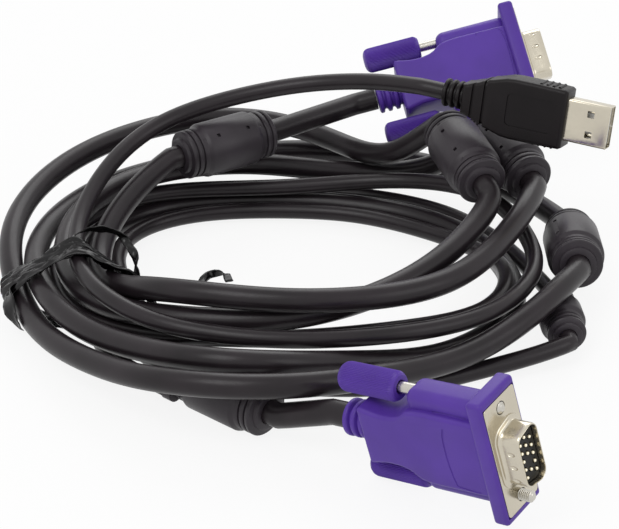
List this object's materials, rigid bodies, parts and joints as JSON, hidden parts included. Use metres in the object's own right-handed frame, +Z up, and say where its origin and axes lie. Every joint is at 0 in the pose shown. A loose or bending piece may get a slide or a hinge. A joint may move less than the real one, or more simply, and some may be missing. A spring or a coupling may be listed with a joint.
{
  "type": "kvm cable",
  "caption": "Screen and keyboard lead: two purple D-type screen plugs with thumbscrews and one black flat plug, on leads with ferrite sleeves, wound in a loose coil and tied.",
  "frame": {"origin": "on the ground, under the middle of the coiled lead's box", "axes": "+Z up; +X to the right and +Y away, as the picture shows the lead"},
  "size_m": [0.1729, 0.2182, 0.0597],
  "materials": {
    "purple_pvc": "satin moulded PVC",
    "black_pvc": "satin extruded PVC",
    "choke_pvc": "satin moulded PVC",
    "ferrite_core": "sintered",
    "nickel_plate": "bright nickel plate",
    "gold_pin": "plated",
    "insert_black": "moulded insulator",
    "white_insulator": "moulded insulator",
    "tie_film": "shiny film over wire"
  },
  "bodies": {
    "cable": {"choke_far": "choke_pvc", "choke_far_core": "ferrite_core", "choke_near": "choke_pvc", "choke_near_core": "ferrite_core", "choke_rear_inner": "choke_pvc", "choke_rear_inner_core": "ferrite_core", "choke_rear_outer": "choke_pvc", "choke_rear_outer_core": "ferrite_core", "choke_right_usb": "choke_pvc", "choke_right_usb_core": "ferrite_core", "choke_right_vga": "choke_pvc", "choke_right_vga_core": "ferrite_core", "far_hood": "purple_pvc", "far_insert": "insert_black", "far_pin_01": "gold_pin", "far_pin_02": "gold_pin", "far_pin_03": "gold_pin", "far_pin_04": "gold_pin", "far_pin_05": "gold_pin", "far_pin_06": "gold_pin", "far_pin_07": "gold_pin", "far_pin_08": "gold_pin", "far_pin_09": "gold_pin", "far_pin_10": "gold_pin", "far_pin_11": "gold_pin", "far_pin_12": "gold_pin", "far_pin_13": "gold_pin", "far_pin_14": "gold_pin", "far_shell": "nickel_plate", "near_hood": "purple_pvc", "near_insert": "insert_black", "near_pin_01": "gold_pin", "near_pin_02": "gold_pin", "near_pin_03": "gold_pin", "near_pin_04": "gold_pin", "near_pin_05": "gold_pin", "near_pin_06": "gold_pin", "near_pin_07": "gold_pin", "near_pin_08": "gold_pin", "near_pin_09": "gold_pin", "near_pin_10": "gold_pin", "near_pin_11": "gold_pin", "near_pin_12": "gold_pin", "near_pin_13": "gold_pin", "near_pin_14": "gold_pin", "near_shell": "nickel_plate", "tie_band": "tie_film", "usb_lead": "black_pvc", "usb_overmould": "black_pvc", "usb_shell": "nickel_plate", "usb_tongue": "white_insulator", "vga_lead": "black_pvc"},
    "near_upper_screw": {"near_upper_screw": "nickel_plate"},
    "near_upper_knob": {"near_upper_knob": "purple_pvc"},
    "near_lower_screw": {"near_lower_screw": "nickel_plate"},
    "near_lower_knob": {"near_lower_knob": "purple_pvc"},
    "far_upper_screw": {"far_upper_screw": "nickel_plate"},
    "far_upper_knob": {"far_upper_knob": "purple_pvc"},
    "far_lower_screw": {"far_lower_screw": "nickel_plate"},
    "far_lower_knob": {"far_lower_knob": "purple_pvc"}
  },
  "joints": [
    {"name": "near_upper_slide", "type": "slide", "parent": "cable", "child": "near_upper_screw", "axis": [0.7718, -0.6117, 0.1736], "range_m": [-0.0026, 0.003]},
    {"name": "near_upper_turn", "type": "hinge", "parent": "near_upper_screw", "child": "near_upper_knob", "pos_m": [0.01906, -0.08106, 0.02934], "axis": [0.7718, -0.6117, 0.1736], "continuous": true},
    {"name": "near_lower_slide", "type": "slide", "parent": "cable", "child": "near_lower_screw", "axis": [0.7718, -0.6117, 0.1736], "range_m": [-0.0054, 0.0002]},
    {"name": "near_lower_turn", "type": "hinge", "parent": "near_lower_screw", "child": "near_lower_knob", "pos_m": [0.02511, -0.08032, 0.0051], "axis": [0.7718, -0.6117, 0.1736], "continuous": true},
    {"name": "far_upper_slide", "type": "slide", "parent": "cable", "child": "far_upper_screw", "axis": [0.9671, 0.1187, 0.225], "range_m": [-0.001, 0.0046]},
    {"name": "far_upper_turn", "type": "hinge", "parent": "far_upper_screw", "child": "far_upper_knob", "pos_m": [0.03122, 0.09693, 0.04048], "axis": [0.9671, 0.1187, 0.225], "continuous": true},
    {"name": "far_lower_slide", "type": "slide", "parent": "cable", "child": "far_lower_screw", "axis": [0.9671, 0.1187, 0.225], "range_m": [-0.0014, 0.0042]},
    {"name": "far_lower_turn", "type": "hinge", "parent": "far_lower_screw", "child": "far_lower_knob", "pos_m": [0.03728, 0.07956, 0.02357], "axis": [0.9671, 0.1187, 0.225], "continuous": true}
  ]
}
